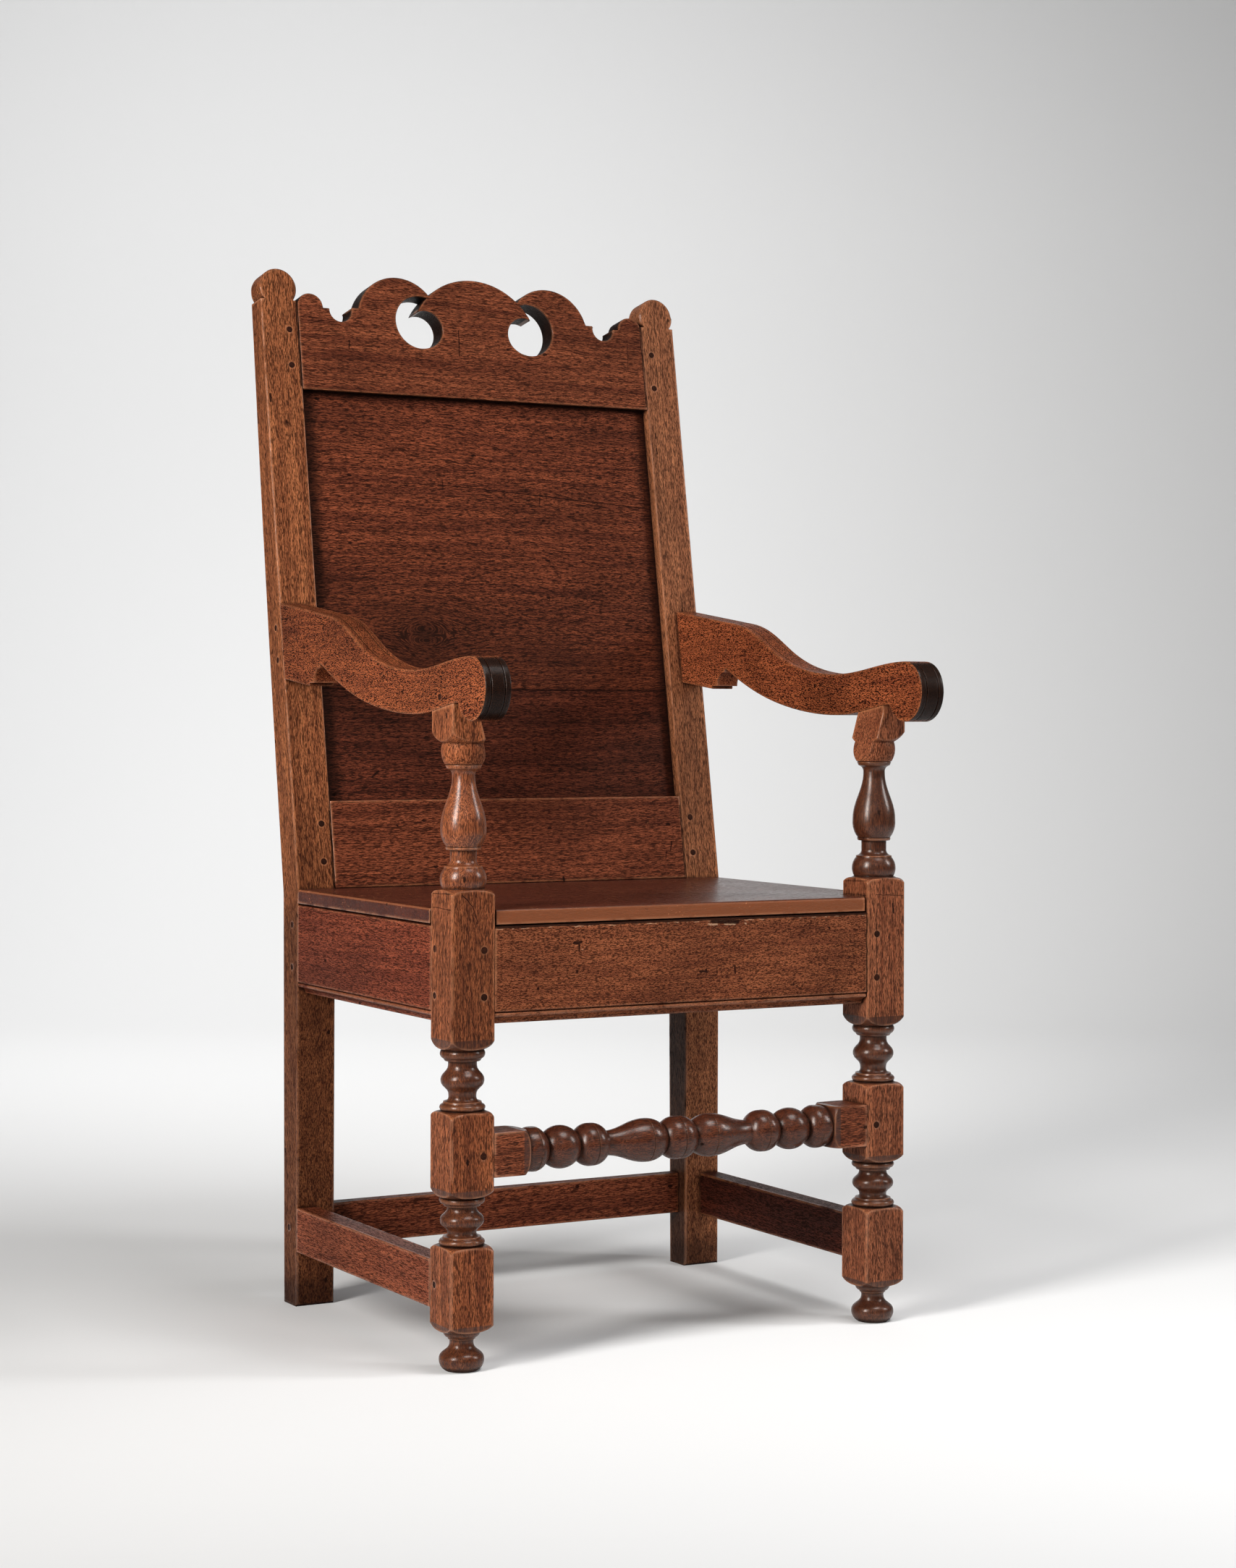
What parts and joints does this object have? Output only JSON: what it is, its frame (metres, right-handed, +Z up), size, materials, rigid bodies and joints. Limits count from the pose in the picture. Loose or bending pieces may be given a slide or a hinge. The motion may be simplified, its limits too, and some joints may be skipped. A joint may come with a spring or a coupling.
{
  "type": "wainscot armchair",
  "caption": "Walnut wainscot armchair: turned front legs and stretcher, raked panelled back with a pierced scalloped crest, board seat and scrolled arms.",
  "frame": {"origin": "on the floor, under the middle of the chair's bounding box", "axes": "+Z up, +Y from the front of the chair to its back, +X to the right of someone who faces the chair from in front"},
  "size_m": [0.532, 0.5904, 1.1425],
  "materials": {
    "frame_walnut": "satin",
    "turned_walnut": "gloss",
    "panel_walnut": "satin",
    "seat_walnut": "gloss",
    "peg_walnut": "satin"
  },
  "bodies": {
    "root": {"front_post_left": "turned_walnut", "front_post_right": "turned_walnut", "rear_post_left": "frame_walnut", "rear_post_right": "frame_walnut", "crest_rail": "frame_walnut", "lower_back_rail": "frame_walnut", "back_panel_upper_board": "panel_walnut", "back_panel_lower_board": "panel_walnut", "seat_board": "seat_walnut", "front_seat_rail": "frame_walnut", "side_seat_rail_left": "frame_walnut", "side_seat_rail_right": "frame_walnut", "rear_seat_rail": "frame_walnut", "front_stretcher": "turned_walnut", "side_stretcher_left": "frame_walnut", "side_stretcher_right": "frame_walnut", "rear_stretcher": "frame_walnut", "arm_left": "frame_walnut", "arm_right": "frame_walnut", "crest_rail_pegs": "peg_walnut", "lower_back_rail_pegs": "peg_walnut", "arm_front_pegs": "peg_walnut", "arm_rear_pegs": "peg_walnut", "front_seat_rail_pegs": "peg_walnut", "side_seat_rail_front_pegs": "peg_walnut", "side_seat_rail_rear_pegs": "peg_walnut", "rear_seat_rail_pegs": "peg_walnut", "front_stretcher_pegs": "peg_walnut", "side_stretcher_pegs": "peg_walnut", "rear_stretcher_pegs": "peg_walnut", "seat_pins": "peg_walnut"}
  },
  "joints": []
}
